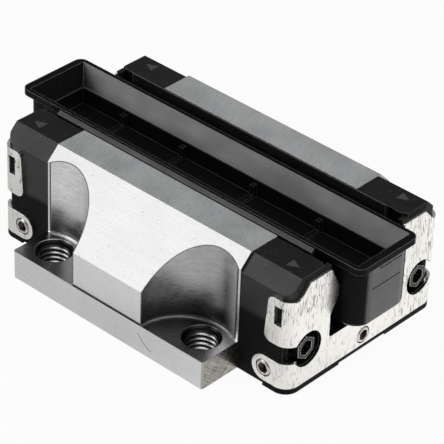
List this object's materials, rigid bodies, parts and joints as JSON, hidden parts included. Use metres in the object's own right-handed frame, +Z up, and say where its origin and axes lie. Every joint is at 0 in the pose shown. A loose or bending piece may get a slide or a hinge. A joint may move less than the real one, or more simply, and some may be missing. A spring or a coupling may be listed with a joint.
{
  "type": "linear guide carriage",
  "caption": "Flanged recirculating-ball carriage for a profiled linear guide rail, with bolt-down flange, black end caps, bent end plates and a slide-out assembly arbor.",
  "frame": {"origin": "centre of the mounting face, between the four flange bolts", "axes": "+X along the rail, +Y across it, +Z up from the mounting face towards the channel's mouth"},
  "size_m": [0.1021, 0.07, 0.0296],
  "materials": {
    "ground_steel": "ground and milled, fine directional grain",
    "raceway_steel": "hardened and honed",
    "ball_steel": "polished",
    "guide_plastic": "moulded, satin black",
    "seal_plastic": "extruded, satin black",
    "seal_rubber": "matt black",
    "cap_plastic": "moulded, semi-gloss black",
    "stainless_sheet": "bright rolled sheet with light scratches",
    "black_screw": "black oxide",
    "bright_screw": "bright, lightly worn",
    "arbor_plastic": "moulded, semi-gloss black"
  },
  "bodies": {
    "carriage": {"ball_circuit_front_high": "ball_steel", "ball_circuit_front_low": "ball_steel", "ball_circuit_rear_high": "ball_steel", "ball_circuit_rear_low": "ball_steel", "ball_guide_front_floor": "guide_plastic", "ball_guide_front_middle": "guide_plastic", "ball_guide_front_waist": "guide_plastic", "ball_guide_rear_floor": "guide_plastic", "ball_guide_rear_middle": "guide_plastic", "ball_guide_rear_waist": "guide_plastic", "collar_screws_left": "black_screw", "collar_screws_right": "black_screw", "end_cap_left": "cap_plastic", "end_cap_right": "cap_plastic", "end_plate_left": "stainless_sheet", "end_plate_right": "stainless_sheet", "end_seal_left": "seal_rubber", "end_seal_right": "seal_rubber", "front_port_screw_left": "bright_screw", "front_port_screw_right": "bright_screw", "load_plate_front_high": "raceway_steel", "load_plate_front_low": "raceway_steel", "load_plate_rear_high": "raceway_steel", "load_plate_rear_low": "raceway_steel", "lube_distributor_left": "cap_plastic", "lube_distributor_right": "cap_plastic", "runner_block": "ground_steel", "side_port_screws_left": "bright_screw", "side_port_screws_right": "bright_screw", "side_seal_front": "seal_plastic", "side_seal_rear": "seal_plastic", "turn_guide_left_front_high": "guide_plastic", "turn_guide_left_front_low": "guide_plastic", "turn_guide_left_rear_high": "guide_plastic", "turn_guide_left_rear_low": "guide_plastic", "turn_guide_right_front_high": "guide_plastic", "turn_guide_right_front_low": "guide_plastic", "turn_guide_right_rear_high": "guide_plastic", "turn_guide_right_rear_low": "guide_plastic"},
    "arbor": {"assembly_arbor": "arbor_plastic"}
  },
  "joints": [
    {"name": "arbor_slide", "type": "slide", "parent": "carriage", "child": "arbor", "axis": [1, 0, 0], "range_m": [-0.0935, 0.097]}
  ]
}
